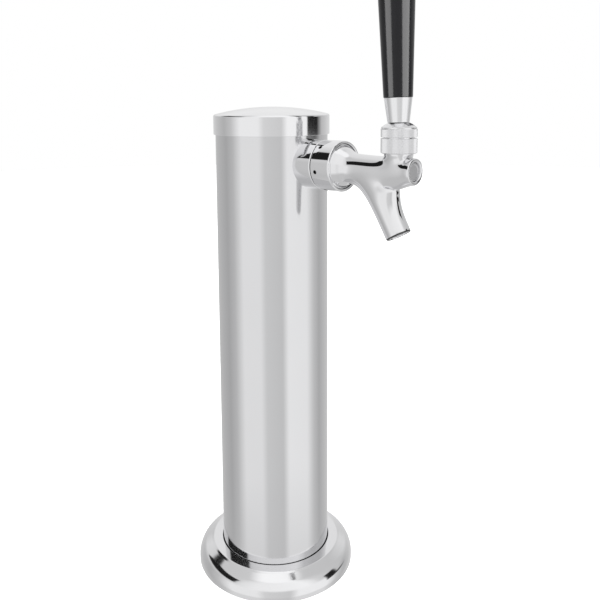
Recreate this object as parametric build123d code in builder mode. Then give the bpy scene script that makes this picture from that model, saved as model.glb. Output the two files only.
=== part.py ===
from build123d import *
import os
from math import asin, cos, radians, sin, sqrt, tan

# Beer tower dispenser: a round column on a flange, with a cap and one rear-sealing tap.
# Millimetres. The origin is the centre of the foot, on the surface that the tower stands on.
# +Z is up, and the tap points to -Y. "Reach" is the distance from the column's axis to -Y.

# ---- Clearances ----
fit_gap = 0.1          # between pieces that are screwed or pushed together
thread_gap = 0.1       # radial, between a thread and its nut
slide_gap = 0.07       # radial, the valve shaft in its guide
ball_gap = 0.1         # the lever's ball in its two seats
swing_gap = 0.4        # around what the lever swings past
lift_gap = 0.3         # under the cap
cut_margin = 1.0       # how far a cut runs past the surface it leaves

# ---- Column and foot ----
column_radius = 38.1
column_wall = 1.5
column_top = 319.8
plate_thickness = 6.0
rim_thickness = 3.5
plate_boss_radius = 39.6
line_hole_radius = 17.0
mount_circle_radius = 24.0
mount_hole_radius = 2.8
mount_hole_count = 4
foot_ring_height = 10.0
foot_ring_width = 7.4
foot_screw_count = 4
foot_screw_turn = 45.0
foot_screw_radius = 2.0
foot_screw_head_radius = 3.8
foot_screw_head_angle = 90.0
foot_screw_length = 13.0
flange_overhang = 17.4
flange_wall = 1.5
flange_skirt = 4.0
flange_shoulder = 9.0
flange_slope = 15.0
flange_gap = 0.5
gasket_gap = 2.5
gasket_thickness = 1.5
gasket_inset = 3.4

# ---- Insulation ----
sleeve_bore_radius = 16.0
sleeve_gap = 0.4
sleeve_length = 219.0

# ---- Cap ----
cap_radius = 39.45
cap_wall = 1.15
cap_overlap = 12.0
cap_dome_radius = 155.0
cap_edge_radius = 1.45
liner_depth = 12.0
liner_wall = 3.0
liner_gap = 0.4
grip_ring_radius = 1.2
grip_ring_drop = 5.0
cap_lift_travel = 30.0

# ---- Shank, through the column's wall ----
collar_drop = 2.5
shank_radius = 11.1
shank_bore_radius = 3.5
shank_flange_radius = 14.0
shank_flange_thickness = 3.0
shank_length = 46.6
collar_radius = 16.0
collar_face = 48.8
collar_edge = 0.4
backing_radius = 15.0
backing_face = 31.0
lock_nut_across = 30.0
lock_nut_thickness = 5.5
tail_washer_thickness = 1.4
tail_flange_radius = 9.8
tail_flange_thickness = 1.6
tail_tube_radius = 4.0
tail_bore_radius = 2.8
tail_bend_radius = 8.0
tail_bend_angle = 90.0
tail_straight = 7.6
tail_drop = 30.0
tail_nut_across = 27.0
tail_nut_length = 12.0
tail_nut_lip = 2.0
barb_count = 3
barb_pitch = 4.0
barb_height = 0.7

# ---- Coupling ----
nut_length = 15.1
nut_radius = 16.0
nut_lip = 2.6
nut_edge = 0.7
spanner_hole_radius = 1.3
spanner_hole_depth = 1.2
spanner_hole_reach = 4.35
spanner_hole_count = 6
spanner_hole_turn = 11.0
coupling_washer_thickness = 1.6
coupling_washer_bore_radius = 7.5

# ---- Faucet body ----
thread_radius = 14.2
thread_length = 6.2
cone_root_radius = 13.0
cone_length = 4.6
cone_end_radius = 10.8
barrel_start = 75.0
barrel_radius = 8.3
barrel_front_radius = 7.8
nub_radius = 7.4
nub_reach = 116.5
nub_length = 6.5
nub_edge = 0.6
chamber_radius = 7.2
seat_reach = 68.5
throat_radius = 4.9
guide_radius = 4.7
guide_reach = 91.0
guide_end = 113.2
plug_radius = 5.6
plug_thickness = 2.1
plug_edge = 0.4
neck_radius = 8.5
neck_root_radius = 7.6
neck_flare = 5.0
lever_reach = 104.7
spout_root = 83.1
spout_angle = 30.2
spout_length = 43.6
spout_root_radius = 7.95
spout_mouth_radius = 7.75
spout_edge = 0.7
spout_blend = 6.0
channel_radius = 5.0
mouth_bore_radius = 6.2
mouth_bore_depth = 22.0

# ---- Valve ----
valve_shaft_radius = 2.2
valve_block_length = 16.7
valve_front_gap = 1.0
valve_shoulder_radius = 4.0
valve_shoulder_length = 1.0
seat_washer_radius = 6.6
seat_washer_thickness = 3.2
seat_gap = 0.1
shaft_nut_across = 8.0
shaft_nut_thickness = 3.0
shaft_nut_overrun = 0.8
seal_section_radius = 0.58
seal_setback = 2.5
pocket_depth = 3.2

# ---- Lever and handle ----
lever_lean = 2.0
lever_swing = 24.0
pivot_rise = 13.7
ball_radius = 5.5
rod_radius = 3.0
rod_length = 16.6
stud_radius = 4.6
stud_length = 28.4
stud_edge = 0.8
arm_radius = 2.0
tip_radius = 2.3
tip_gap = 0.3
bonnet_radius = 10.4
bonnet_start = 10.4
bonnet_dome_radius = 15.6
bonnet_groove_rise = 19.1
bonnet_groove_width = 0.7
bonnet_groove_depth = 0.5
bonnet_edge = 0.4
bonnet_shoulder_rise = 4.8
bonnet_cavity_radius = 6.6
bonnet_cavity_top = 9.8
neck_top_rise = 0.6
seat_floor_drop = 4.7
seat_top_drop = 1.9
neck_bore_radius = 6.6
seat_opening_radius = 4.75
washer_seat_rise = 2.3
washer_flare = 25.0
ferrule_base_radius = 6.4
ferrule_top_radius = 8.25
ferrule_top_rise = 28.8
ferrule_gap = 0.35
handle_base_radius = 8.5
handle_top_radius = 12.2
handle_length = 98.0
handle_crown = 9.0
insert_length = 20.0
insert_wall = 1.5

# ---- Places worked out from the sizes above ----
column_bore = column_radius - column_wall
cap_bottom = column_top - cap_overlap
tap_height = cap_bottom - collar_drop - collar_radius
collar_bore = shank_radius + thread_gap
nut_front = collar_face + fit_gap + nut_length
nut_back = nut_front - nut_length
shank_flange_back = nut_back + nut_lip + fit_gap
shank_front = shank_flange_back + shank_flange_thickness
shank_back = shank_front - shank_length
body_back = shank_front + coupling_washer_thickness
thread_end = body_back + thread_length
block_front = guide_end - valve_front_gap
block_back = block_front - valve_block_length
washer_front = seat_reach - seat_gap
washer_back = washer_front - seat_washer_thickness
shaft_nut_back = washer_back - shaft_nut_thickness
shaft_back = shaft_nut_back - shaft_nut_overrun
nub_shoulder = nub_reach - nub_length
inner_dome = cap_dome_radius - cap_wall
dome_centre = column_top + lift_gap - sqrt(inner_dome**2 - column_radius**2)
open_angle = lever_swing - lever_lean
valve_travel = pivot_rise * (sin(radians(open_angle)) + sin(radians(lever_lean)))
valve_block_radius = guide_radius - slide_gap
flange_radius = column_radius + flange_overhang
plate_radius = flange_radius - flange_wall - fit_gap
foot_screw_circle = column_bore - fit_gap - foot_ring_width / 2

# ---- Working planes ----
side = Plane(origin=(0, 0, tap_height), x_dir=(0, -1, 0), z_dir=(-1, 0, 0))
across = Plane(origin=(0, 0, tap_height), x_dir=(1, 0, 0), z_dir=(0, -1, 0))
tap_axis = Axis((0, 0, tap_height), (0, -1, 0))
underside = Plane(origin=(0, 0, 0), x_dir=(1, 0, 0), z_dir=(0, 0, -1))
pivot = Vector(0, -lever_reach, tap_height + pivot_rise)
pivot_side = Plane(origin=pivot, x_dir=(0, -1, 0), z_dir=(-1, 0, 0))
lever_line = Vector(0, sin(radians(lever_lean)), cos(radians(lever_lean)))
lever_frame = Plane(origin=pivot, x_dir=(1, 0, 0), z_dir=lever_line)
lever_side = Plane(origin=pivot, x_dir=lever_line.cross(Vector(1, 0, 0)) * -1, z_dir=(-1, 0, 0))
lever_axis = Axis(pivot, lever_line)
spout_line = Vector(0, -sin(radians(spout_angle)), -cos(radians(spout_angle)))
spout_top = Vector(0, -spout_root, tap_height)
spout_frame = Plane(origin=spout_top, x_dir=(1, 0, 0), z_dir=spout_line)
neck_plane = Plane(origin=(0, -lever_reach, tap_height), x_dir=(1, 0, 0), z_dir=(0, 0, 1))


def disc(plane, radius, length, mode=Mode.ADD):
    """Extrude a round disc from a plane along its normal."""
    with BuildSketch(plane) as section:
        Circle(radius)
    extrude(section.sketch, amount=length, mode=mode)


def ring(plane, outer, inner, length):
    """Extrude a ring from a plane along its normal."""
    with BuildSketch(plane) as section:
        Circle(outer)
        Circle(inner, mode=Mode.SUBTRACT)
    extrude(section.sketch, amount=length)


def hex_nut(plane, across_flats, bore, length):
    """Extrude a hexagon with a round bore from a plane along its normal."""
    with BuildSketch(plane) as section:
        RegularPolygon(across_flats / 2, 6, major_radius=False)
        Circle(bore, mode=Mode.SUBTRACT)
    extrude(section.sketch, amount=length)


def turned(plane, axis, points, mode=Mode.ADD):
    """Turn a straight-sided outline about an axis."""
    with BuildSketch(plane) as section:
        with BuildLine():
            Polyline(*points, close=True)
        make_face()
    revolve(section.sketch, axis=axis, mode=mode)


def save(name, builder):
    """Label a finished piece and write its STEP file."""
    builder.part.label = name
    export_step(builder.part, f"parts/{name}.step")


os.makedirs("parts", exist_ok=True)

# ==== Foot ====
groove_outer = plate_radius - gasket_inset
groove_inner = column_radius + gasket_gap

with BuildPart() as base_plate:
    disc(Plane.XY, plate_radius, rim_thickness)
    disc(Plane.XY, plate_boss_radius, plate_thickness)
    disc(Plane.XY, line_hole_radius, plate_thickness, Mode.SUBTRACT)
    with BuildSketch(Plane.XY) as groove:
        Circle(groove_outer)
        Circle(groove_inner, mode=Mode.SUBTRACT)
    extrude(amount=gasket_thickness, mode=Mode.SUBTRACT)
    with PolarLocations(mount_circle_radius, mount_hole_count):
        Hole(mount_hole_radius)
    with Locations(underside):
        with PolarLocations(foot_screw_circle, foot_screw_count, start_angle=foot_screw_turn):
            CounterSinkHole(
                foot_screw_radius + fit_gap,
                foot_screw_head_radius + fit_gap,
                depth=plate_thickness,
                counter_sink_angle=foot_screw_head_angle,
            )
save("base_plate", base_plate)

with BuildPart() as base_gasket:
    ring(Plane.XY, groove_outer - fit_gap, groove_inner + fit_gap, gasket_thickness)
save("base_gasket", base_gasket)

with BuildPart() as foot_ring:
    outer = column_bore - fit_gap
    ring(Plane.XY.offset(plate_thickness), outer, outer - foot_ring_width, foot_ring_height)
    with PolarLocations(foot_screw_circle, foot_screw_count, start_angle=foot_screw_turn):
        Hole(foot_screw_radius + thread_gap)
save("foot_ring", foot_ring)

with BuildPart() as foot_screws:
    head_height = foot_screw_head_radius - foot_screw_radius
    with PolarLocations(foot_screw_circle, foot_screw_count, start_angle=foot_screw_turn):
        with Locations((0, 0, fit_gap)):
            Cone(
                foot_screw_head_radius,
                foot_screw_radius,
                head_height,
                align=(Align.CENTER, Align.CENTER, Align.MIN),
            )
            Cylinder(
                foot_screw_radius,
                foot_screw_length,
                align=(Align.CENTER, Align.CENTER, Align.MIN),
            )
save("foot_screws", foot_screws)


def flange_section(inset, bore):
    """Half section of the flange: skirt, round shoulder and slope, moved in by inset."""
    radius = flange_shoulder - inset
    end = radians(90 - flange_slope)
    middle = end / 2
    centre = (flange_radius - flange_shoulder, flange_skirt)
    skirt_top = (centre[0] + radius, centre[1])
    arc_middle = (centre[0] + radius * cos(middle), centre[1] + radius * sin(middle))
    arc_end = (centre[0] + radius * cos(end), centre[1] + radius * sin(end))
    top = arc_end[1] + (arc_end[0] - bore) * tan(radians(flange_slope))
    with BuildSketch(Plane.XZ) as section:
        with BuildLine():
            Line((skirt_top[0], 0), skirt_top)
            ThreePointArc(skirt_top, arc_middle, arc_end)
            Polyline(arc_end, (bore, top), (bore, 0), (skirt_top[0], 0))
        make_face()
    return section.sketch


flange_bore = column_radius + flange_gap
with BuildPart() as base_flange:
    revolve(flange_section(0, flange_bore), axis=Axis.Z)
    revolve(flange_section(flange_wall, flange_bore), axis=Axis.Z, mode=Mode.SUBTRACT)
save("base_flange", base_flange)

# ==== Column ====
with BuildPart() as column_tube:
    column_length = column_top - plate_thickness
    ring(Plane.XY.offset(plate_thickness), column_radius, column_bore, column_length)
    disc(across, collar_bore, column_radius + cut_margin, Mode.SUBTRACT)
save("column_tube", column_tube)

sleeve_start = plate_thickness + foot_ring_height
with BuildPart() as foam_sleeve:
    sleeve_plane = Plane.XY.offset(sleeve_start)
    ring(sleeve_plane, column_bore - sleeve_gap, sleeve_bore_radius, sleeve_length)
save("foam_sleeve", foam_sleeve)

# ==== Cap ====
def cap_section(inset):
    """Half section of the cap: domed top, rounded edge and skirt, moved in by inset."""
    dome = cap_dome_radius - inset
    edge = cap_edge_radius - inset
    edge_centre_x = cap_radius - cap_edge_radius
    edge_centre_z = dome_centre + sqrt((dome - edge) ** 2 - edge_centre_x**2)
    lean = asin(edge_centre_x / (dome - edge))
    apex = (0, dome_centre + dome)
    dome_middle = (dome * sin(lean / 2), dome_centre + dome * cos(lean / 2))
    dome_end = (dome * sin(lean), dome_centre + dome * cos(lean))
    turn = (lean + radians(90)) / 2
    edge_middle = (edge_centre_x + edge * sin(turn), edge_centre_z + edge * cos(turn))
    edge_end = (cap_radius - inset, edge_centre_z)
    with BuildSketch(Plane.XZ) as section:
        with BuildLine():
            ThreePointArc(apex, dome_middle, dome_end)
            ThreePointArc(dome_end, edge_middle, edge_end)
            Polyline(edge_end, (edge_end[0], cap_bottom), (0, cap_bottom), apex)
        make_face()
    return section.sketch


with BuildPart() as top_cap:
    revolve(cap_section(0), axis=Axis.Z)
    revolve(cap_section(cap_wall), axis=Axis.Z, mode=Mode.SUBTRACT)
save("top_cap", top_cap)

liner_radius = column_bore - liner_gap
liner_top = dome_centre + sqrt(inner_dome**2 - liner_radius**2) - fit_gap / 2
ring_height = liner_top - grip_ring_drop
ring_path = column_bore - fit_gap / 2 - grip_ring_radius
with BuildPart() as cap_liner:
    liner_plane = Plane.XY.offset(liner_top - liner_depth)
    ring(liner_plane, liner_radius, liner_radius - liner_wall, liner_depth)
    with Locations((0, 0, ring_height)):
        Torus(ring_path, grip_ring_radius + fit_gap / 2, mode=Mode.SUBTRACT)
save("cap_liner", cap_liner)

with BuildPart() as cap_grip_ring:
    with Locations((0, 0, ring_height)):
        Torus(ring_path, grip_ring_radius)
save("cap_grip_ring", cap_grip_ring)

# ==== Shank ====
with BuildPart() as shank_collar:
    ring(across, collar_radius, collar_bore, collar_face)
    front = shank_collar.edges().filter_by(GeomType.CIRCLE).group_by(Axis.Y)[0].sort_by(SortBy.RADIUS)
    chamfer(front[-1], collar_edge)
    with Locations((0, 0, tap_height)):
        Cylinder(column_radius, 2 * (collar_radius + cut_margin), mode=Mode.SUBTRACT)
save("shank_collar", shank_collar)

with BuildPart() as shank:
    disc(across.offset(shank_back), shank_radius, shank_length)
    disc(across.offset(shank_flange_back), shank_flange_radius, shank_flange_thickness)
    disc(across.offset(shank_back), shank_bore_radius, shank_length, Mode.SUBTRACT)
save("shank", shank)

with BuildPart() as backing_washer:
    ring(across.offset(backing_face), backing_radius, collar_bore, column_radius - backing_face)
    with Locations((0, 0, tap_height)):
        Cylinder(column_bore, 2 * (backing_radius + cut_margin), mode=Mode.INTERSECT)
save("backing_washer", backing_washer)

with BuildPart() as shank_lock_nut:
    lock_plane = across.offset(backing_face - lock_nut_thickness)
    hex_nut(lock_plane, lock_nut_across, collar_bore, lock_nut_thickness)
save("shank_lock_nut", shank_lock_nut)

tail_washer_back = shank_back - tail_washer_thickness
tail_flange_back = tail_washer_back - tail_flange_thickness
tail_nut_back = tail_flange_back - tail_nut_lip
with BuildPart() as tail_washer:
    ring(
        across.offset(tail_washer_back),
        tail_flange_radius,
        shank_bore_radius,
        tail_washer_thickness,
    )
save("tail_washer", tail_washer)

with BuildPart() as tail_nut:
    nut_plane = across.offset(tail_nut_back)
    hex_nut(nut_plane, tail_nut_across, tail_tube_radius + swing_gap, tail_nut_lip)
    hex_nut(
        nut_plane.offset(tail_nut_lip),
        tail_nut_across,
        collar_bore,
        tail_nut_length - tail_nut_lip,
    )
save("tail_nut", tail_nut)

bend_start = tail_washer_back - tail_straight
leg_reach = bend_start - tail_bend_radius
leg_top = -tail_bend_radius
leg_bottom = leg_top - tail_drop
with BuildPart() as tailpiece:
    disc(across.offset(tail_flange_back), tail_flange_radius, tail_flange_thickness)
    with BuildLine(side) as tail_path:
        run = Line((tail_washer_back, 0), (bend_start, 0))
        bend = JernArc(start=run @ 1, tangent=run % 1, radius=tail_bend_radius, arc_size=tail_bend_angle)
        Line(bend @ 1, (leg_reach, leg_bottom))
    with BuildSketch(across.offset(tail_washer_back)):
        Circle(tail_tube_radius)
    sweep(path=tail_path.wires()[0])
    barb_root_radius = tail_tube_radius - barb_height / 2
    for barb in range(barb_count):
        with Locations((0, -leg_reach, tap_height + leg_bottom + barb * barb_pitch)):
            Cone(
                barb_root_radius,
                tail_tube_radius + barb_height,
                barb_pitch,
                align=(Align.CENTER, Align.CENTER, Align.MIN),
            )
    with BuildSketch(across.offset(tail_washer_back)):
        Circle(tail_bore_radius)
    sweep(path=tail_path.wires()[0], mode=Mode.SUBTRACT)
save("tailpiece", tailpiece)

# ==== Coupling ====
with BuildPart() as coupling_nut:
    ring(across.offset(nut_back), nut_radius, collar_bore, nut_lip)
    nut_thread_length = nut_length - nut_lip
    ring(across.offset(nut_back + nut_lip), nut_radius, thread_radius + thread_gap, nut_thread_length)
    ends = coupling_nut.edges().filter_by(GeomType.CIRCLE).group_by(Axis.Y)
    chamfer(ends[-1].sort_by(SortBy.RADIUS)[-1], collar_edge)
    fillet(ends[0].sort_by(SortBy.RADIUS)[-1], nut_edge)
    with Locations(across.offset(nut_back + spanner_hole_reach)):
        with PolarLocations(nut_radius, spanner_hole_count, start_angle=spanner_hole_turn):
            Cylinder(
                spanner_hole_radius,
                2 * spanner_hole_depth,
                rotation=(0, 90, 0),
                mode=Mode.SUBTRACT,
            )
save("coupling_nut", coupling_nut)

with BuildPart() as coupling_washer:
    ring(
        across.offset(shank_front),
        shank_flange_radius - fit_gap,
        coupling_washer_bore_radius,
        coupling_washer_thickness,
    )
save("coupling_washer", coupling_washer)

# ==== Faucet body ====
cone_start = (thread_end, cone_root_radius)
cone_end = (thread_end + cone_length, cone_end_radius)
cone_direction = (cone_length, cone_end_radius - cone_root_radius)
barrel_back = (barrel_start, barrel_radius)
barrel_front = (lever_reach, barrel_front_radius)
barrel_direction = (lever_reach - barrel_start, barrel_front_radius - barrel_radius)
arm_spread = arm_radius / cos(radians(open_angle))
well_depth = pivot_rise - seat_floor_drop
well_back = (pivot_rise - guide_radius) * tan(radians(open_angle)) + arm_spread + swing_gap
well_front = pivot_rise * sin(radians(lever_lean)) + tip_radius + swing_gap
well_half_width = tip_radius + tip_gap

with BuildPart() as faucet_body:
    with BuildSketch(side):
        with BuildLine():
            Polyline((body_back, 0), (body_back, thread_radius), (thread_end, thread_radius))
            Polyline((thread_end, thread_radius), cone_start, cone_end)
            Spline(cone_end, barrel_back, tangents=(cone_direction, barrel_direction))
            Line(barrel_back, barrel_front)
            Polyline(barrel_front, (nub_shoulder, nub_radius), (nub_reach, nub_radius))
            Polyline((nub_reach, nub_radius), (nub_reach, 0), (body_back, 0))
        make_face()
    revolve(axis=tap_axis)
    nub_rim = faucet_body.edges().filter_by(GeomType.CIRCLE).sort_by(Axis.Y)[0]
    fillet(nub_rim, nub_edge)
    neck_top = pivot_rise + neck_top_rise
    with BuildSketch(side):
        with BuildLine():
            Polyline(
                (lever_reach, 0),
                (lever_reach + neck_root_radius, 0),
                (lever_reach + neck_radius, neck_flare),
                (lever_reach + neck_radius, neck_top),
                (lever_reach, neck_top),
                close=True,
            )
        make_face()
    revolve(axis=Axis(neck_plane.origin, neck_plane.z_dir))
    with Locations(spout_frame):
        Cone(
            spout_root_radius,
            spout_mouth_radius,
            spout_length,
            align=(Align.CENTER, Align.CENTER, Align.MIN),
        )
    spout_edges = faucet_body.edges(Select.LAST)
    mouth_rim = spout_edges.filter_by(GeomType.CIRCLE).sort_by(Axis.Z)[0]
    fillet(mouth_rim, spout_edge)
    fillet(spout_edges.filter_by(GeomType.BSPLINE), spout_blend)
    # Beer's way: chamber behind the seat, throat, guide for the shaft, and the spout's channel
    disc(across.offset(body_back), chamber_radius, seat_reach - body_back, Mode.SUBTRACT)
    disc(across.offset(seat_reach), throat_radius, guide_reach - seat_reach, Mode.SUBTRACT)
    disc(across.offset(guide_reach), guide_radius, guide_end - guide_reach, Mode.SUBTRACT)
    disc(across.offset(guide_end), plug_radius, nub_reach - guide_end, Mode.SUBTRACT)
    disc(spout_frame, channel_radius, spout_length, Mode.SUBTRACT)
    mouth_plane = spout_frame.offset(spout_length - mouth_bore_depth)
    disc(mouth_plane, mouth_bore_radius, mouth_bore_depth, Mode.SUBTRACT)
    # Lever's way: round pocket for the ball and its seat, and a well down to the shaft
    neck_bore_length = seat_floor_drop + neck_top_rise
    disc(neck_plane.offset(well_depth), neck_bore_radius, neck_bore_length, Mode.SUBTRACT)
    relief_depth = ball_radius + swing_gap - seat_floor_drop
    disc(neck_plane.offset(well_depth - relief_depth), seat_opening_radius, relief_depth, Mode.SUBTRACT)
    with BuildSketch(neck_plane):
        with Locations((0, (well_back - well_front) / 2)):
            Rectangle(2 * well_half_width, well_back + well_front)
    extrude(amount=well_depth, mode=Mode.SUBTRACT)
save("faucet_body", faucet_body)

with BuildPart() as front_plug:
    disc(across.offset(guide_end), plug_radius - fit_gap / 2, plug_thickness)
    chamfer(front_plug.edges().group_by(Axis.Y)[0], plug_edge)
save("front_plug", front_plug)

# ==== Valve ====
seal_reach = block_back + seal_setback
seal_path = guide_radius - slide_gap / 2 - seal_section_radius
tip_reach = lever_reach + pivot_rise * sin(radians(lever_lean))
pocket_half = tip_radius + tip_gap
pocket_top = valve_block_radius + fit_gap
pocket_lean = pocket_top * tan(radians(open_angle)) + swing_gap
with BuildPart() as valve_shaft:
    disc(across.offset(shaft_back), valve_shaft_radius, block_back - shaft_back)
    disc(across.offset(washer_front), valve_shoulder_radius, valve_shoulder_length)
    disc(across.offset(block_back), valve_block_radius, valve_block_length)
    with Locations(across.offset(seal_reach)):
        Torus(seal_path, seal_section_radius + fit_gap / 2, mode=Mode.SUBTRACT)
    with BuildSketch(side):
        with BuildLine():
            Polyline(
                (tip_reach - pocket_half, -pocket_depth),
                (tip_reach + pocket_half, -pocket_depth),
                (tip_reach + pocket_half, 0),
                (tip_reach + pocket_half + pocket_lean, pocket_top),
                (tip_reach - pocket_half - swing_gap, pocket_top),
                (tip_reach - pocket_half, 0),
                close=True,
            )
        make_face()
    extrude(amount=pocket_half, both=True, mode=Mode.SUBTRACT)
save("valve_shaft", valve_shaft)

with BuildPart() as shaft_seal:
    with Locations(across.offset(seal_reach)):
        Torus(seal_path, seal_section_radius)
save("shaft_seal", shaft_seal)

with BuildPart() as seat_washer:
    washer_bore = valve_shaft_radius + fit_gap
    ring(across.offset(washer_back), seat_washer_radius, washer_bore, seat_washer_thickness)
save("seat_washer", seat_washer)

with BuildPart() as shaft_nut:
    nut_bore = valve_shaft_radius + thread_gap
    hex_nut(across.offset(shaft_nut_back), shaft_nut_across, nut_bore, shaft_nut_thickness)
save("shaft_nut", shaft_nut)

# ==== Ball joint ====
seat_ball = ball_radius + ball_gap
with BuildPart() as ball_seat:
    ring(
        neck_plane.offset(well_depth),
        neck_bore_radius - fit_gap,
        seat_opening_radius,
        seat_floor_drop - seat_top_drop,
    )
    with Locations(pivot):
        Sphere(seat_ball, mode=Mode.SUBTRACT)
save("ball_seat", ball_seat)

washer_throat = sqrt(seat_ball**2 - washer_seat_rise**2)
washer_height = bonnet_shoulder_rise - neck_top_rise
flare_height = bonnet_shoulder_rise - washer_seat_rise
with BuildPart() as friction_washer:
    disc(neck_plane.offset(pivot_rise + neck_top_rise), neck_radius, washer_height)
    with Locations(pivot):
        Sphere(seat_ball, mode=Mode.SUBTRACT)
    with Locations(neck_plane.offset(pivot_rise + washer_seat_rise)):
        Cone(
            washer_throat,
            washer_throat + flare_height * tan(radians(washer_flare)),
            flare_height,
            align=(Align.CENTER, Align.CENTER, Align.MIN),
            mode=Mode.SUBTRACT,
        )
save("friction_washer", friction_washer)

# ==== Bonnet: a knurled nut with a round top, slotted for the lever's swing ====
slot_half_width = rod_radius + swing_gap
slot_top = bonnet_dome_radius + swing_gap
slot_base = ball_radius
bonnet_bottom_drop = pivot_rise - bonnet_start
slot_front = rod_radius / cos(radians(open_angle)) + swing_gap
slot_back = rod_radius / cos(radians(lever_lean)) + swing_gap
with BuildPart() as bonnet:
    bonnet_plane = neck_plane.offset(bonnet_start)
    disc(bonnet_plane, bonnet_radius, bonnet_bottom_drop + bonnet_dome_radius)
    with Locations(pivot):
        Sphere(bonnet_dome_radius, mode=Mode.INTERSECT)
    thread_height = bonnet_bottom_drop + bonnet_shoulder_rise
    disc(bonnet_plane, neck_radius + thread_gap, thread_height, Mode.SUBTRACT)
    disc(bonnet_plane, bonnet_cavity_radius, bonnet_bottom_drop + bonnet_cavity_top, Mode.SUBTRACT)
    groove_plane = neck_plane.offset(bonnet_groove_rise)
    with BuildSketch(groove_plane) as bonnet_groove:
        Circle(bonnet_radius + fit_gap)
        Circle(bonnet_radius - bonnet_groove_depth, mode=Mode.SUBTRACT)
    extrude(amount=bonnet_groove_width, mode=Mode.SUBTRACT)
    with BuildSketch(pivot_side):
        with BuildLine():
            Polyline(
                (-slot_back - slot_base * tan(radians(lever_lean)), slot_base),
                (slot_front + slot_base * tan(radians(open_angle)), slot_base),
                (slot_front + slot_top * tan(radians(open_angle)), slot_top),
                (-slot_back - slot_top * tan(radians(lever_lean)), slot_top),
                close=True,
            )
        make_face()
    extrude(amount=slot_half_width, both=True, mode=Mode.SUBTRACT)
    foot = bonnet.edges().filter_by(GeomType.CIRCLE).group_by(Axis.Z)[0].sort_by(SortBy.RADIUS)[-1]
    chamfer(foot, bonnet_edge)
save("bonnet", bonnet)

# ==== Lever and handle, built along the lever's own line ====
with BuildPart(lever_frame) as lever:
    Sphere(ball_radius)
    Cylinder(rod_radius, rod_length, align=(Align.CENTER, Align.CENTER, Align.MIN))
    with Locations((0, 0, rod_length)):
        Cylinder(stud_radius, stud_length, align=(Align.CENTER, Align.CENTER, Align.MIN))
    Cylinder(arm_radius, pivot_rise, align=(Align.CENTER, Align.CENTER, Align.MAX))
    with Locations((0, 0, -pivot_rise)):
        Sphere(tip_radius)
    stud_end = lever.edges().filter_by(GeomType.CIRCLE).sort_by(Axis.Z)[-1]
    chamfer(stud_end, stud_edge)
save("lever", lever)

ferrule_ball = bonnet_dome_radius + ferrule_gap
rod_bore = rod_radius + fit_gap
stud_bore = stud_radius + thread_gap
ferrule_inner_rise = sqrt(ferrule_ball**2 - rod_bore**2)
ferrule_base_rise = sqrt(ferrule_ball**2 - ferrule_base_radius**2)
base_middle_angle = (asin(rod_bore / ferrule_ball) + asin(ferrule_base_radius / ferrule_ball)) / 2
base_middle = (ferrule_ball * sin(base_middle_angle), ferrule_ball * cos(base_middle_angle))
with BuildPart() as ferrule:
    with BuildSketch(lever_side):
        with BuildLine():
            ThreePointArc(
                (rod_bore, ferrule_inner_rise),
                base_middle,
                (ferrule_base_radius, ferrule_base_rise),
            )
            Polyline(
                (ferrule_base_radius, ferrule_base_rise),
                (ferrule_top_radius, ferrule_top_rise),
                (stud_bore, ferrule_top_rise),
                (stud_bore, rod_length),
                (rod_bore, rod_length),
                (rod_bore, ferrule_inner_rise),
            )
        make_face()
    revolve(axis=lever_axis)
save("ferrule", ferrule)

insert_radius = stud_bore + insert_wall
with BuildPart() as handle_insert:
    ring(lever_frame.offset(ferrule_top_rise), insert_radius, stud_bore, insert_length)
save("handle_insert", handle_insert)

handle_top = ferrule_top_rise + handle_length
insert_top = ferrule_top_rise + insert_length
insert_bore = insert_radius + fit_gap
with BuildPart() as tap_handle:
    handle_outline = [
        (0, insert_top),
        (insert_bore, insert_top),
        (insert_bore, ferrule_top_rise),
        (handle_base_radius, ferrule_top_rise),
        (handle_top_radius, handle_top),
        (0, handle_top),
    ]
    turned(lever_side, lever_axis, handle_outline)
    top_rim = tap_handle.edges().filter_by(GeomType.CIRCLE).sort_by(Axis.Z)[-1]
    fillet(top_rim, handle_crown)
save("tap_handle", tap_handle)

# ==== Joints, for whoever places or moves the parts ====
print("lever pivot", pivot, "swing", lever_swing, "degrees about", (1, 0, 0))
print("valve travel", round(valve_travel, 3), "per radian", round(valve_travel / radians(lever_swing), 3))
print("spout mouth", spout_frame.offset(spout_length).origin, "line", spout_line)
print("tailpiece foot", (0, -leg_reach, tap_height + leg_bottom))
print("cap lift", cap_lift_travel)
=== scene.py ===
import math

import bmesh
import bpy
from mathutils import Matrix, Vector


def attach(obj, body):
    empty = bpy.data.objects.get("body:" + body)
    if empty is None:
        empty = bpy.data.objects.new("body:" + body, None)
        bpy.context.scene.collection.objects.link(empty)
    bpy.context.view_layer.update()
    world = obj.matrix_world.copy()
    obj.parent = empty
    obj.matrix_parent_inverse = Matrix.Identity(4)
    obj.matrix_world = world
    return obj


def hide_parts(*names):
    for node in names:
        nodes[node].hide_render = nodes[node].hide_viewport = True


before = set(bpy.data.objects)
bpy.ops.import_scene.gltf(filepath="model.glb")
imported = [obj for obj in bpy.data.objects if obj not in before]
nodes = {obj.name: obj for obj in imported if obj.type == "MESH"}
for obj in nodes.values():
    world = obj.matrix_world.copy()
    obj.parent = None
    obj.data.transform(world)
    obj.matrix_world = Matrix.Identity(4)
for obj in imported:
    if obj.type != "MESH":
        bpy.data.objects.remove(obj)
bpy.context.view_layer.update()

mm = 0.001
upright = Matrix.Identity(4)


# where a turned piece's own axis stands: its foot in mm and the way it points
def placeAlong(foot, direction):
    axis = Vector(direction).normalized()
    across = Vector((1, 0, 0))
    turn = Matrix((across, axis.cross(across), axis)).transposed().to_4x4()
    return Matrix.Translation(Vector(foot) * mm) @ turn


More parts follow.
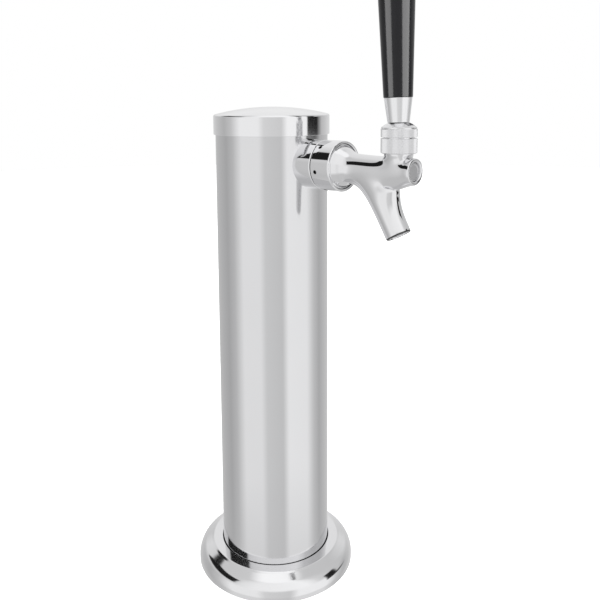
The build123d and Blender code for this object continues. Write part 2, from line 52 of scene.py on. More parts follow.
tap = {"height": 289.3, "leverReach": 104.7, "pivotRise": 13.7, "leverLean": 2.0}
tapPlace = placeAlong((0, 0, tap["height"]), (0, -1, 0))
neckPlace = placeAlong((0, -tap["leverReach"], tap["height"]), (0, 0, 1))
lean = math.radians(tap["leverLean"])
leverPlace = placeAlong(
    (0, -tap["leverReach"], tap["height"] + tap["pivotRise"]), (0, math.sin(lean), math.cos(lean))
)

roundingSteps = {"small": 5, "large": 14, "largeFrom": 3}
mergeDistance = 1e-6


# an outline is a list of (radius, height), (radius, height, rounding) or arcs, in mm
def drawOutline(bm, outline, closed):
    first = last = None
    corners = []
    for step in outline:
        if isinstance(step, dict):
            reach, rise = step["centre"]
            swept = bmesh.ops.spin(
                bm, geom=[last], cent=(reach * mm, 0, rise * mm), axis=(0, 1, 0), dvec=(0, 0, 0),
                angle=math.radians(step["turn"]), steps=step["steps"], use_duplicate=False,
            )
            last = [part for part in swept["geom_last"] if isinstance(part, bmesh.types.BMVert)][0]
            continue
        vert = bm.verts.new((step[0] * mm, 0, step[1] * mm))
        if last is not None:
            bm.edges.new((last, vert))
        if len(step) > 2:
            corners.append((vert, step[2]))
        first = first or vert
        last = vert
    if closed:
        bm.edges.new((last, first))
    for vert, rounding in corners:
        size = "large" if rounding >= roundingSteps["largeFrom"] else "small"
        bmesh.ops.bevel(
            bm, geom=[vert], offset=rounding * mm, offset_type="OFFSET", segments=roundingSteps[size],
            profile=0.5, affect="VERTICES", material=-1,
        )


def turned(outline, place, steps=128, closed=False):
    bm = bmesh.new()
    drawOutline(bm, outline, closed)
    bmesh.ops.spin(
        bm, geom=bm.verts[:] + bm.edges[:], cent=(0, 0, 0), axis=(0, 0, 1), dvec=(0, 0, 0),
        angle=math.tau, steps=steps, use_merge=True,
    )
    bmesh.ops.remove_doubles(bm, verts=bm.verts[:], dist=mergeDistance)
    bmesh.ops.recalc_face_normals(bm, faces=bm.faces[:])
    bmesh.ops.transform(bm, matrix=place, verts=bm.verts[:])
    return bm


def toObject(name, bm):
    mesh = bpy.data.meshes.new(name)
    bm.to_mesh(mesh)
    bm.free()
    piece = bpy.data.objects.new(name, mesh)
    bpy.context.scene.collection.objects.link(piece)
    return piece


# takes one shape out of another and gives back a plain bmesh
def cutAway(bm, cutter):
    body = toObject("cutBody", bm)
    tool = toObject("cutTool", cutter)
    cut = body.modifiers.new("cut", "BOOLEAN")
    cut.operation, cut.solver, cut.object = "DIFFERENCE", "EXACT", tool
    bpy.context.view_layer.update()
    shaped = bpy.data.meshes.new_from_object(body.evaluated_get(bpy.context.evaluated_depsgraph_get()))
    result = bmesh.new()
    result.from_mesh(shaped)
    for done in (body, tool):
        spare = done.data
        bpy.data.objects.remove(done)
        bpy.data.meshes.remove(spare)
    bpy.data.meshes.remove(shaped)
    bmesh.ops.remove_doubles(result, verts=result.verts[:], dist=mergeDistance)
    return result


def addPiece(name, bm, body, material, replaced, sharpAngle=32, levels=0):
    piece = toObject(name, bm)
    piece.data.shade_smooth()
    piece.data.materials.append(material)
    if levels:
        smooth = piece.modifiers.new("smooth", "SUBSURF")
        smooth.levels = smooth.render_levels = levels
    else:
        piece.data.set_sharp_from_angle(angle=math.radians(sharpAngle))
        even = piece.modifiers.new("evenNormals", "WEIGHTED_NORMAL")
        even.keep_sharp = True
    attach(piece, body)
    if replaced:
        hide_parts(*replaced)
    print(name, len(piece.data.polygons), "faces")
    return piece


# a node that works out a number from sockets and plain numbers
def addMath(tree, operation, *values, clamp=False):
    node = tree.nodes.new("ShaderNodeMath")
    node.operation = operation
    node.use_clamp = clamp
    for socket, value in zip(node.inputs, values):
        if isinstance(value, bpy.types.NodeSocket):
            tree.links.new(value, socket)
        else:
            socket.default_value = value
    return node.outputs[0]


def addNoise(tree, place, scale, detail=2.0):
    noise = tree.nodes.new("ShaderNodeTexNoise")
    noise.inputs["Detail"].default_value = detail
    if isinstance(scale, bpy.types.NodeSocket):
        tree.links.new(scale, noise.inputs["Scale"])
    else:
        noise.inputs["Scale"].default_value = scale
    tree.links.new(place, noise.inputs["Vector"])
    return noise.outputs["Fac"]


# fine polishing marks: noise drawn out along one way, as a roughness and a height
polish = {"detail": 6, "smearScale": 18, "smearDetail": 3, "smearShare": 0.6, "middle": 0.8}


def makePolishGroup():
    group = bpy.data.node_groups.new("polishMarks", "ShaderNodeTree")
    face = group.interface
    face.new_socket(name="Vector", in_out="INPUT", socket_type="NodeSocketVector")
    for label, default in (("Density", 400.0), ("Roughness", 0.2), ("Spread", 0.05)):
        face.new_socket(name=label, in_out="INPUT", socket_type="NodeSocketFloat").default_value = default
    stretch = face.new_socket(name="Stretch", in_out="INPUT", socket_type="NodeSocketVector")
    stretch.default_value = (1, 1, 1)
    for label in ("Roughness", "Height"):
        face.new_socket(name=label, in_out="OUTPUT", socket_type="NodeSocketFloat")
    add, link = group.nodes.new, group.links.new
    take, give = add("NodeGroupInput").outputs, add("NodeGroupOutput").inputs
    drawn = add("ShaderNodeVectorMath")
    drawn.operation = "MULTIPLY"
    link(take["Vector"], drawn.inputs[0])
    link(take["Stretch"], drawn.inputs[1])
    marks = addNoise(group, drawn.outputs[0], take["Density"], polish["detail"])
    smears = addNoise(group, take["Vector"], polish["smearScale"], polish["smearDetail"])
    both = addMath(group, "MULTIPLY_ADD", smears, polish["smearShare"], marks)
    centred = addMath(group, "SUBTRACT", both, polish["middle"])
    spread = addMath(group, "MULTIPLY_ADD", centred, take["Spread"], take["Roughness"], clamp=True)
    link(spread, give["Roughness"])
    link(marks, give["Height"])
    return group


polishMarks = makePolishGroup()


# two tones that drift into each other, marks in the surface, and a faint bump from them
def finishWith(name, tones, marksInputs, bump, drift, depth):
    material = bpy.data.materials.new(name)
    material.use_nodes = True
    tree = material.node_tree
    add, link = tree.nodes.new, tree.links.new
    shader = tree.nodes["Principled BSDF"]
    place = add("ShaderNodeTexCoord").outputs["Object"]
    marks = add("ShaderNodeGroup")
    marks.node_tree = polishMarks
    for label, value in marksInputs.items():
        marks.inputs[label].default_value = value
    link(place, marks.inputs["Vector"])
    mix = add("ShaderNodeMix")
    mix.data_type = "RGBA"
    for label, tone in zip("AB", tones):
        mix.inputs[label].default_value = (*tone, 1)
    link(addNoise(tree, place, drift), mix.inputs["Factor"])
    link(mix.outputs["Result"], shader.inputs["Base Color"])
    link(marks.outputs["Roughness"], shader.inputs["Roughness"])
    raised = add("ShaderNodeBump")
    raised.inputs["Strength"].default_value = bump
    raised.inputs["Distance"].default_value = depth
    link(marks.outputs["Height"], raised.inputs["Height"])
    link(raised.outputs["Normal"], shader.inputs["Normal"])
    return material, shader


def metal(name, light, dark, roughness, spread, density=900, stretch=(1, 1, 1), bump=0.02, edge=1.0):
    marksInputs = {"Density": density, "Roughness": roughness, "Spread": spread, "Stretch": stretch}
    material, shader = finishWith(name, (light, dark), marksInputs, bump, drift=30, depth=0.0001)
    shader.inputs["Metallic"].default_value = 1
    shader.inputs["Specular Tint"].default_value = (edge, edge, edge, 1)
    return material


# plastic or rubber, with a grain in its surface
def moulded(name, colour, roughness, spread, density=600, bump=0.1, gloss=0.5, shade=0.8):
    marksInputs = {"Density": density, "Roughness": roughness, "Spread": spread}
    shaded = [value * shade for value in colour]
    material, shader = finishWith(name, (colour, shaded), marksInputs, bump, drift=120, depth=0.0002)
    shader.inputs["Specular IOR Level"].default_value = gloss
    return material


tubeSteel = metal(
    "tubeSteel", (0.70, 0.70, 0.71), (0.68, 0.68, 0.69), 0.10, 0.03, stretch=(1, 1, 0.02), edge=0.86
)
capSteel = metal("capSteel", (0.80, 0.80, 0.81), (0.78, 0.78, 0.79), 0.08, 0.02)
flangeSteel = metal("flangeSteel", (0.77, 0.77, 0.78), (0.74, 0.74, 0.75), 0.10, 0.03)
plateSteel = metal("plateSteel", (0.50, 0.50, 0.51), (0.42, 0.42, 0.43), 0.42, 0.12, density=300)
bodyChrome = metal("bodyChrome", (0.76, 0.76, 0.77), (0.73, 0.73, 0.74), 0.045, 0.02, bump=0.01)
tapChrome = metal("tapChrome", (0.82, 0.82, 0.83), (0.79, 0.79, 0.80), 0.045, 0.02, bump=0.01)
bonnetChrome = metal("bonnetChrome", (0.80, 0.80, 0.81), (0.76, 0.76, 0.77), 0.24, 0.06)
ferruleChrome = metal("ferruleChrome", (0.80, 0.80, 0.81), (0.77, 0.77, 0.78), 0.13, 0.03)
plugChrome = metal("plugChrome", (0.66, 0.66, 0.67), (0.60, 0.60, 0.61), 0.38, 0.08)
# painted shade: a near-black finish laid in the spanner holes for the dark that falls inside them
paintedHoleShade = metal("paintedHoleShade", (0.10, 0.10, 0.10), (0.06, 0.06, 0.06), 0.45, 0.10)
# painted shade: a near-black finish on the mouth's rim for the dark line that shade draws there
paintedMouthShade = metal("paintedMouthShade", (0.10, 0.10, 0.10), (0.06, 0.06, 0.06), 0.40, 0.10)
leverSteel = metal("leverSteel", (0.66, 0.66, 0.67), (0.58, 0.58, 0.59), 0.25, 0.08)
tailSteel = metal("tailSteel", (0.66, 0.66, 0.67), (0.58, 0.58, 0.59), 0.28, 0.08)
shankBrass = metal("shankBrass", (0.78, 0.62, 0.34), (0.68, 0.52, 0.27), 0.30, 0.10, density=500)
handlePlastic = moulded("handlePlastic", (0.004, 0.004, 0.0045), 0.16, 0.04, bump=0.004, gloss=0.18)
sealRubber = moulded("sealRubber", (0.03, 0.03, 0.03), 0.75, 0.15)
foamGrey = moulded("foamGrey", (0.25, 0.26, 0.27), 0.92, 0.1, density=900, bump=0.7)
linerPlastic = moulded("linerPlastic", (0.08, 0.08, 0.085), 0.55, 0.1)
seatNylon = moulded("seatNylon", (0.82, 0.81, 0.77), 0.45, 0.1)

# what stays as it is from the frame, by its finish
keptNodes = {
    plateSteel: ("base_plate", "foot_ring"),
    leverSteel: ("lever", "valve_shaft", "shaft_nut"),
    tailSteel: ("tailpiece", "backing_washer", "foot_screws"),
    shankBrass: ("shank", "shank_lock_nut", "tail_nut", "handle_insert"),
    sealRubber: (
        "base_gasket", "coupling_washer", "tail_washer", "seat_washer", "shaft_seal", "cap_grip_ring",
    ),
    foamGrey: ("foam_sleeve",),
    linerPlastic: ("cap_liner",),
    seatNylon: ("ball_seat", "friction_washer"),
}
for finish, names in keptNodes.items():
    for nodeName in names:
        nodes[nodeName].data.materials.clear()
        nodes[nodeName].data.materials.append(finish)
print("finishes done")

# the column is an open tube
column = {"outer": 38.1, "inner": 36.6, "foot": 6.0, "top": 319.8, "edge": 0.3, "steps": 192}
columnTube = turned(
    [
        (column["inner"], column["foot"]),
        (column["outer"], column["foot"], column["edge"]),
        (column["outer"], column["top"], column["edge"]),
        (column["inner"], column["top"], column["edge"]),
    ],
    upright, column["steps"], closed=True,
)
addPiece("columnTube", columnTube, "tower", tubeSteel, ["column_tube"])

cap = {
    "radius": 39.45, "foot": 307.8, "wall": 1.15, "dome": 155.0, "edge": 1.45, "skirtEdge": 0.2, "gap": 0.3,
    "steps": 192,
}
innerDome = cap["dome"] - cap["wall"]
domeCentre = column["top"] + cap["gap"] - math.sqrt(innerDome**2 - column["outer"] ** 2)
edgeRadius = cap["radius"] - cap["edge"]


def capOutline(inset, upwards):
    dome, edge = cap["dome"] - inset, cap["edge"] - inset
    edgeHeight = domeCentre + math.sqrt((dome - edge) ** 2 - edgeRadius**2)
    tilt = math.degrees(math.asin(edgeRadius / (dome - edge)))
    domeArc = {"centre": (0, domeCentre), "turn": tilt, "steps": 28}
    edgeArc = {"centre": (edgeRadius, edgeHeight), "turn": 90 - tilt, "steps": 7}
    skirt = (cap["radius"] - inset, cap["foot"])
    if upwards:
        top = (edgeRadius + edge, edgeHeight)
        return [skirt, top, {**edgeArc, "turn": tilt - 90}, {**domeArc, "turn": -tilt}]
    return [(0, domeCentre + dome), domeArc, edgeArc, (*skirt, cap["skirtEdge"])]


topCap = turned(capOutline(0, False) + capOutline(cap["wall"], True), upright, cap["steps"])
addPiece("topCap", topCap, "cap", capSteel, ["top_cap"])

flange = {
    "bore": 38.6, "top": 15.43, "ledge": 45.0, "ledgeTop": 15.1, "step": 46.4, "stepTop": 14.15,
    "radius": 55.5, "skirt": 2.8, "shoulder": 10.4, "slope": 31.0, "wall": 1.5, "steps": 192,
    "stepEdge": 0.12, "ledgeEdge": 0.3, "boreEdge": 0.3,
}
shoulderAxis = flange["radius"] - flange["shoulder"]
baseFlange = turned(
    [
        (flange["radius"], 0),
        (flange["radius"], flange["skirt"]),
        {"centre": (shoulderAxis, flange["skirt"]), "turn": flange["slope"] - 90, "steps": 20},
        (flange["step"], flange["stepTop"], flange["stepEdge"]),
        (flange["ledge"], flange["ledgeTop"], flange["ledgeEdge"]),
        (flange["bore"], flange["top"], flange["boreEdge"]),
        (flange["bore"], flange["top"] - flange["wall"]),
        (flange["ledge"], flange["ledgeTop"] - flange["wall"]),
        (flange["radius"] - flange["wall"], flange["skirt"] + flange["wall"]),
        (flange["radius"] - flange["wall"], 0),
    ],
    upright, flange["steps"], closed=True,
)
addPiece("baseFlange", baseFlange, "tower", flangeSteel, ["base_flange"])

# the collar and the nut are turned along the tap's axis
collar = {
    "radius": 16.0, "bore": 11.2, "face": 48.8, "rear": 33.0, "rearZone": 0.5, "edge": 0.7, "steps": 144,
}
shankCollar = turned(
    [
        (collar["bore"], collar["rear"]),
        (collar["radius"], collar["rear"]),
        (collar["radius"], collar["face"], collar["edge"]),
        (collar["bore"], collar["face"]),
    ],
    tapPlace, collar["steps"], closed=True,
)
for vert in shankCollar.verts:  # the rear is saddled on the column
    if vert.co.y > -(collar["rear"] + collar["rearZone"]) * mm:
        vert.co.y = -math.sqrt((column["outer"] * mm) ** 2 - vert.co.x**2)
addPiece("shankCollar", shankCollar, "tower", tapChrome, ["shank_collar"])

nut = {
    "radius": 16.0, "rear": 49.5, "front": 64.0, "bore": 14.3, "lipBore": 11.2, "lip": 2.0, "rearEdge": 0.4,
    "frontEdge": 0.8, "innerEdge": 0.6, "steps": 144,
    "holeRadius": 1.3, "holeDepth": 1.2, "holeReach": 53.25, "holeCount": 6, "holeTurn": 11.0,
    "holeSides": 24,
}
couplingNut = turned(
    [
        (nut["lipBore"], nut["rear"]),
        (nut["radius"], nut["rear"], nut["rearEdge"]),
        (nut["radius"], nut["front"], nut["frontEdge"]),
        (nut["bore"], nut["front"], nut["innerEdge"]),
        (nut["bore"], nut["rear"] + nut["lip"]),
        (nut["lipBore"], nut["rear"] + nut["lip"]),
    ],
    tapPlace, nut["steps"], closed=True,
)
spannerHoles = bmesh.new()
for index in range(nut["holeCount"]):
    angle = math.radians(nut["holeTurn"] + index * 360 / nut["holeCount"])
    outwards = Vector((math.cos(angle), 0, math.sin(angle)))
    centre = Vector((0, -nut["holeReach"] * mm, tap["height"] * mm)) + outwards * nut["radius"] * mm
    turn = outwards.to_track_quat("Z", "Y").to_matrix().to_4x4()
    bmesh.ops.create_cone(
        spannerHoles, cap_ends=True, segments=nut["holeSides"], radius1=nut["holeRadius"] * mm,
        radius2=nut["holeRadius"] * mm, depth=2 * nut["holeDepth"] * mm,
        matrix=Matrix.Translation(centre) @ turn,
    )
# the holes' walls take the painted shade finish
for face in spannerHoles.faces:
    face.material_index = 1
couplingNut = cutAway(couplingNut, spannerHoles)
nutPiece = addPiece("couplingNut", couplingNut, "tower", tapChrome, ["coupling_nut"])
nutPiece.data.materials.append(paintedHoleShade)

# the faucet's body is a smoothed cage of eight sides: a barrel of rings, then the neck and the spout drawn
# out of it
faucet = {
    "sides": 8, "shrink": 0.902, "levels": 3,
    # reach along the tap's axis and radius
    "barrel": (
        (56.6, 14.1), (62.7, 14.1), (63.1, 14.0), (63.2, 13.2), (63.9, 12.8), (66.0, 11.9), (69.0, 9.9),
        (72.5, 8.6), (78.0, 8.3), (88.0, 8.0), (97.0, 7.9), (104.7, 7.8), (111.4, 7.75), (113.8, 7.9),
        (115.8, 7.9), (116.4, 7.65), (116.48, 6.8), (116.2, 5.75), (115.2, 5.6), (113.0, 5.6),
    ),
    # which rings the spout and the neck stand on
    "spoutRings": (8, 9, 10), "neckRings": (10, 11, 12),
    # how far down the lowest corners of some rings are drawn, and the share that their neighbours follow
    "drops": ((7, 2.6), (8, 6.2), (10, 8.2), (11, 4.6), (12, 1.6), (13, 0.5)), "dropShare": 0.35,
    # how far out the sides are at the spout and at the neck
    "cheek": 1.14, "shoulder": 1.14,
    # rise over the tap's axis and radius
    "neck": ((9.4, 8.7), (11.5, 8.5), (14.0, 8.5), (14.3, 8.2), (14.3, 6.9), (9.0, 6.9)),
    # length along the spout's own axis and radius, out to the mouth and back up the bore
    "spoutReach": 83.1, "spoutAngle": 30.2,
    "spout": (
        (18.0, 8.4), (25.0, 8.05), (34.0, 7.85), (42.4, 7.85), (44.1, 7.8), (44.8, 7.3), (44.75, 6.4),
        (43.8, 6.25), (22.0, 6.2), (21.6, 6.0), (21.6, 5.0), (12.0, 5.0),
    ),
    "mouthLoops": slice(4, 7),  # the ones whose faces take painted shade, a near-black line round the mouth's rim
    # how far the front of the spout's first loops is pushed ahead, which rounds the crotch under the nose
    "frontPush": ((0, 7.2), (1, 2.0)), "frontShare": 0.8,
}


def extrudeLoop(bm, edges):
    grown = bmesh.ops.extrude_edge_only(bm, edges=edges)["geom"]
    verts = [part for part in grown if isinstance(part, bmesh.types.BMVert)]
    loop = [part for part in grown if isinstance(part, bmesh.types.BMEdge)]
    return verts, [edge for edge in loop if all(end in verts for end in edge.verts)]


# sets a loop's corners evenly on a circle, each at the corner nearest to its bearing
def roundLoop(verts, place, radius):
    step = math.tau / faucet["sides"]
    back = place.inverted()
    for vert in verts:
        flat = back @ vert.co
        angle = round(math.atan2(flat.y, flat.x) / step) * step
        spoke = Vector((math.cos(angle), math.sin(angle), 0))
        vert.co = place @ (spoke * radius * mm / faucet["shrink"])


# the corner of a loop that lies at a bearing round a place's own axis
def cornerAt(loop, place, bearing):
    back = place.inverted()
    aim = Vector((math.cos(math.radians(bearing)), math.sin(math.radians(bearing))))
    return max(loop, key=lambda vert: (back @ vert.co).xy.normalized().dot(aim))


def facesBetween(bm, ringIndices, bearings):
    corners = {cornerAt(rings[index], tapPlace, bearing) for index in ringIndices for bearing in bearings}
    return [face for face in bm.faces if all(vert in corners for vert in face.verts)]


def openFaces(bm, faces):
    around = [edge for face in faces for edge in face.edges]
    rim = [edge for edge in around if not all(side in faces for side in edge.link_faces)]
    bmesh.ops.delete(bm, geom=faces, context="FACES")
    return rim


def drawOut(bm, edges, base, sections):
    loops = []
    for way, radius in sections:
        verts, edges = extrudeLoop(bm, edges)
        roundLoop(verts, base @ Matrix.Translation((0, 0, way * mm)), radius)
        loops.append(verts)
    return loops


body = bmesh.new()
bmesh.ops.create_circle(body, segments=faucet["sides"], radius=mm, matrix=tapPlace)
edges = body.edges[:]
rings = []
for reach, radius in faucet["barrel"]:
    if rings:
        verts, edges = extrudeLoop(body, edges)
    else:
        verts = body.verts[:]
    roundLoop(verts, tapPlace @ Matrix.Translation((0, 0, reach * mm)), radius)
    rings.append(verts)

for index, drop in faucet["drops"]:
    for bearing, share in ((270, 1.0), (225, faucet["dropShare"]), (315, faucet["dropShare"])):
        cornerAt(rings[index], tapPlace, bearing).co.z -= drop * share * mm
for bearing in (225, 315):
    cornerAt(rings[faucet["spoutRings"][1]], tapPlace, bearing).co.x *= faucet["cheek"]
for bearing in (45, 135):
    cornerAt(rings[faucet["neckRings"][1]], tapPlace, bearing).co.x *= faucet["shoulder"]

neckFaces = facesBetween(body, faucet["neckRings"], (45, 90, 135))
spoutFaces = facesBetween(body, faucet["spoutRings"], (225, 270, 315))
neckRim = openFaces(body, neckFaces)
spoutRim = openFaces(body, spoutFaces)
drawOut(body, neckRim, neckPlace, faucet["neck"])
spoutLine = math.radians(faucet["spoutAngle"])
spoutPlace = placeAlong(
    (0, -faucet["spoutReach"], tap["height"]), (0, -math.sin(spoutLine), -math.cos(spoutLine))
)
spoutLoops = drawOut(body, spoutRim, spoutPlace, faucet["spout"])
ahead = spoutPlace.to_3x3() @ Vector((0, 1, 0))
for index, push in faucet["frontPush"]:
    for bearing, share in ((90, 1.0), (45, faucet["frontShare"]), (135, faucet["frontShare"])):
        cornerAt(spoutLoops[index], spoutPlace, bearing).co += ahead * push * share * mm
# the mouth's rim faces take the painted shade finish
mouth = {vert for loop in spoutLoops[faucet["mouthLoops"]] for vert in loop}
for face in body.faces:
    face.material_index = int(all(vert in mouth for vert in face.verts))
bmesh.ops.recalc_face_normals(body, faces=body.faces[:])
bodyPiece = addPiece(
    "faucetBody", body, "tower", bodyChrome, ["faucet_body"], levels=faucet["levels"]
)
bodyPiece.data.materials.append(paintedMouthShade)

plug = {
    "radius": 5.55, "rear": 113.2, "front": 115.3, "edge": 0.35, "rim": 4.5, "dish": 0.15, "dishWall": 0.4,
    "dishEdge": 0.2, "steps": 96,
}
frontPlug = turned(
    [
        (0, plug["rear"]),
        (plug["radius"], plug["rear"]),
        (plug["radius"], plug["front"], plug["edge"]),
        (plug["rim"], plug["front"], plug["dishEdge"]),
        (plug["rim"] - plug["dishWall"], plug["front"] - plug["dish"], plug["dishEdge"]),
        (0, plug["front"] - plug["dish"]),
    ],
    tapPlace, plug["steps"],
)
addPiece("frontPlug", frontPlug, "tower", plugChrome, ["front_plug"])

# the bonnet's heights are from the tap's axis
bonnet = {
    "radius": 10.55, "foot": 10.4, "edge": 0.5, "domeRadius": 15.6, "shoulder": 24.9,
    "grooveFoot": 19.1, "grooveTop": 19.8, "grooveRadius": 9.0, "grooveBevel": 0.12,
    # the knurled bands: the teeth, how far the bands end from the edges, and how their ends slope
    "knurlDepth": 0.25, "knurlCount": 96, "knurlTouch": 0.01,
    "bandInset": 0.35, "bandOut": 0.1, "bandIn": 0.15,
    # the lever's slot, with its two ends in degrees from upright
    "slotHalf": 3.4, "slotFront": 24.0, "slotBack": 2.0, "slotFoot": 6.0, "slotOver": 1,
    "bore": 8.6, "thread": 18.5, "cavity": 6.6, "cavityTop": 23.5,
}
valley = bonnet["radius"] - bonnet["knurlDepth"]
domeFoot = tap["pivotRise"] + math.sqrt(bonnet["domeRadius"] ** 2 - valley**2)
domeTilt = math.degrees(math.asin(valley / bonnet["domeRadius"]))
bands = (
    (bonnet["foot"] + bonnet["bandInset"], bonnet["grooveFoot"] - bonnet["bandInset"]),
    (bonnet["grooveTop"] + bonnet["bandInset"], bonnet["shoulder"] - bonnet["bandInset"]),
)
bonnetOutline = [
    (bonnet["bore"], bonnet["foot"]),
    (valley - bonnet["edge"] / 2, bonnet["foot"]),
    (valley, bands[0][0] - bonnet["bandOut"]),
    (bonnet["radius"], bands[0][0] + bonnet["bandIn"]),
    (bonnet["radius"], bonnet["grooveFoot"] - bonnet["grooveBevel"]),
    (valley, bonnet["grooveFoot"]),
    (bonnet["grooveRadius"], bonnet["grooveFoot"]),
    (bonnet["grooveRadius"], bonnet["grooveTop"]),
    (valley, bonnet["grooveTop"]),
    (bonnet["radius"], bonnet["grooveTop"] + bonnet["grooveBevel"]),
    (bonnet["radius"], bands[1][1] - bonnet["bandIn"]),
    (valley, bands[1][1] + bonnet["bandOut"]),
    (valley, domeFoot),
    {"centre": (0, tap["pivotRise"]), "turn": -domeTilt, "steps": 14},
    (0, bonnet["cavityTop"]),
    (bonnet["cavity"], bonnet["cavityTop"]),
    (bonnet["cavity"], bonnet["thread"]),
    (bonnet["bore"], bonnet["thread"]),
    (bonnet["bore"], bonnet["foot"]),
]
bonnetNut = turned(bonnetOutline, neckPlace, 2 * bonnet["knurlCount"])
neckAxis = Vector((0, -tap["leverReach"] * mm))
for vert in bonnetNut.verts:  # every other line of the bands drops to make the teeth
    out = vert.co.xy - neckAxis
    if out.length > (bonnet["radius"] - bonnet["knurlTouch"]) * mm:
        toothLine = round(math.atan2(out.y, out.x) / math.tau * 2 * bonnet["knurlCount"])
        if toothLine % 2:
            out = out.normalized() * valley * mm
            vert.co.x, vert.co.y = out.x, neckAxis.y + out.y
slotCutter = bmesh.new()
bmesh.ops.create_cube(slotCutter, size=1)
slotTop = bonnet["domeRadius"] + bonnet["slotOver"]
for vert in slotCutter.verts:
    high = vert.co.z > 0
    front = vert.co.y < 0
    rise = slotTop if high else bonnet["slotFoot"]
    swing = math.tan(math.radians(bonnet["slotFront"] - tap["leverLean"] if front else bonnet["slotBack"]))
    reach = (bonnet["slotHalf"] + rise * swing) * (-1 if front else 1)
    vert.co = (
        math.copysign(bonnet["slotHalf"], vert.co.x) * mm,
        (reach - tap["leverReach"]) * mm,
        (tap["height"] + tap["pivotRise"] + rise) * mm,
    )
bmesh.ops.recalc_face_normals(slotCutter, faces=slotCutter.faces[:])
bonnetNut = cutAway(bonnetNut, slotCutter)
addPiece("bonnetNut", bonnetNut, "tower", bonnetChrome, ["bonnet"], sharpAngle=24)

# the ferrule and the handle are turned along the lever's own line, with heights from its pivot
ferrule = {"ball": 15.95, "bore": 3.1, "base": 6.4, "top": 8.25, "rise": 28.8, "edge": 0.25, "steps": 128}
startTilt = math.degrees(math.asin(ferrule["bore"] / ferrule["ball"]))
endTilt = math.degrees(math.asin(ferrule["base"] / ferrule["ball"]))
ferruleCone = turned(
    [
        (ferrule["bore"], math.sqrt(ferrule["ball"] ** 2 - ferrule["bore"] ** 2)),
        {"centre": (0, 0), "turn": endTilt - startTilt, "steps": 6},
        (ferrule["top"], ferrule["rise"], ferrule["edge"]),
        (ferrule["bore"], ferrule["rise"]),
    ],
    leverPlace, ferrule["steps"], closed=True,
)
addPiece("ferruleCone", ferruleCone, "lever", ferruleChrome, ["ferrule"])

handle = {
    "base": 8.5, "top": 12.2, "foot": 28.8, "length": 97.95, "footEdge": 0.35, "crown": 8.7, "steps": 160,
}
tapHandle = turned(
    [
        (0, handle["foot"]),
        (handle["base"], handle["foot"], handle["footEdge"]),
        (handle["top"], handle["foot"] + handle["length"], handle["crown"]),
        (0, handle["foot"] + handle["length"]),
    ],
    leverPlace, handle["steps"],
)
handlePiece = addPiece("tapHandle", tapHandle, "lever", handlePlastic, ["tap_handle"])
print("pieces done")

# a plain pale floor, just under the foot
floor = {
    "radius": 3.0, "steps": 96, "drop": 0.0002, "tone": (0.92, 0.92, 0.92), "roughness": 0.9, "lift": 0.55,
}
ground = bmesh.new()
bmesh.ops.create_circle(ground, cap_ends=True, segments=floor["steps"], radius=floor["radius"])
bmesh.ops.translate(ground, vec=(0, 0, -floor["drop"]), verts=ground.verts[:])
ground = toObject("floor", ground)
floorPaint = bpy.data.materials.new("floorPaint")
floorPaint.use_nodes = True
floorShader = floorPaint.node_tree.nodes["Principled BSDF"]
floorShader.inputs["Base Color"].default_value = (*floor["tone"], 1)
floorShader.inputs["Roughness"].default_value = floor["roughness"]
floorShader.inputs["Emission Color"].default_value = (1, 1, 1, 1)
floorShader.inputs["Emission Strength"].default_value = floor["lift"]
ground.data.materials.append(floorPaint)
ground.visible_glossy = False

# the room's light, by bearing round the ring of walls and by height; heights run from 0 straight down
# through 0.5 at the horizon to 1 straight up, and a band is full between its middle edges and none
# outside the outer two
studio = {
    "heading": 224.1,  # the way the camera lies, as the middle of the ring
    # brightness round the ring, from behind the tower by its left, the camera's side, its right, and back
    "walls": (
        (0.00, 0.84), (0.06, 0.74), (0.21, 0.53), (0.265, 0.65), (0.325, 1.02), (0.43, 1.02), (0.462, 0.80),
        (0.555, 0.74), (0.588, 1.10), (0.708, 1.08), (0.76, 0.72), (0.81, 0.56), (0.89, 0.74), (1.00, 0.84),
    ),
    # the same ring higher up
    "upperWalls": (
        (0.00, 0.95), (0.095, 0.92), (0.20, 0.72), (0.315, 0.76), (0.36, 0.95), (0.41, 1.05), (0.55, 1.1),
        (0.63, 1.15), (0.66, 1.0), (0.685, 0.80), (0.75, 0.70), (0.83, 0.68), (0.905, 0.92), (1.00, 0.95),
    ),
    "upperFrom": (0.57, 0.67),
    "floorGlow": {"tone": 0.66, "height": (-1.0, 0.0, 0.15, 0.255), "weight": 0.9},
    "ceiling": {"tone": 1.2, "height": (0.965, 0.987, 1.1, 1.2), "weight": 1.0},
    "darkTone": 0.015,
    "darkParts": (
        {"bearing": (0.150, 0.156, 0.325, 0.335), "height": (0.675, 0.690, 0.840, 0.850)},
        {"bearing": (0.704, 0.709, 0.780, 0.820), "height": (0.462, 0.470, 0.515, 0.530)},
        {"bearing": (0.704, 0.709, 0.755, 0.765), "height": (0.510, 0.525, 0.715, 0.730)},
    ),
    # what one mirror shows another is a little brighter, as it loses light twice
    "twiceMirrored": 1.12,
}
world = bpy.data.worlds.new("studio")
bpy.context.scene.world = world
world.use_nodes = True
room = world.node_tree
room.nodes.clear()


def greyRamp(source, stops):
    ramp = room.nodes.new("ShaderNodeValToRGB")
    dots = ramp.color_ramp.elements
    for stop in stops[1:-1]:
        dots.new(stop[0])
    for dot, (at, value) in zip(dots, stops):
        dot.position = at
        dot.color = (value, value, value, 1)
    room.links.new(source, ramp.inputs["Fac"])
    return ramp.outputs["Color"]


def softBand(source, edges, weight=1.0):
    stops = [(edge, value) for edge, value in zip(edges, (0, weight, weight, 0)) if 0 <= edge <= 1]
    if edges[0] > 0:
        stops.insert(0, (0, 0))
    if edges[1] <= 0:
        stops.insert(0, (0, weight))
    stops.append((1, weight if edges[2] >= 1 else 0))
    return greyRamp(source, stops)


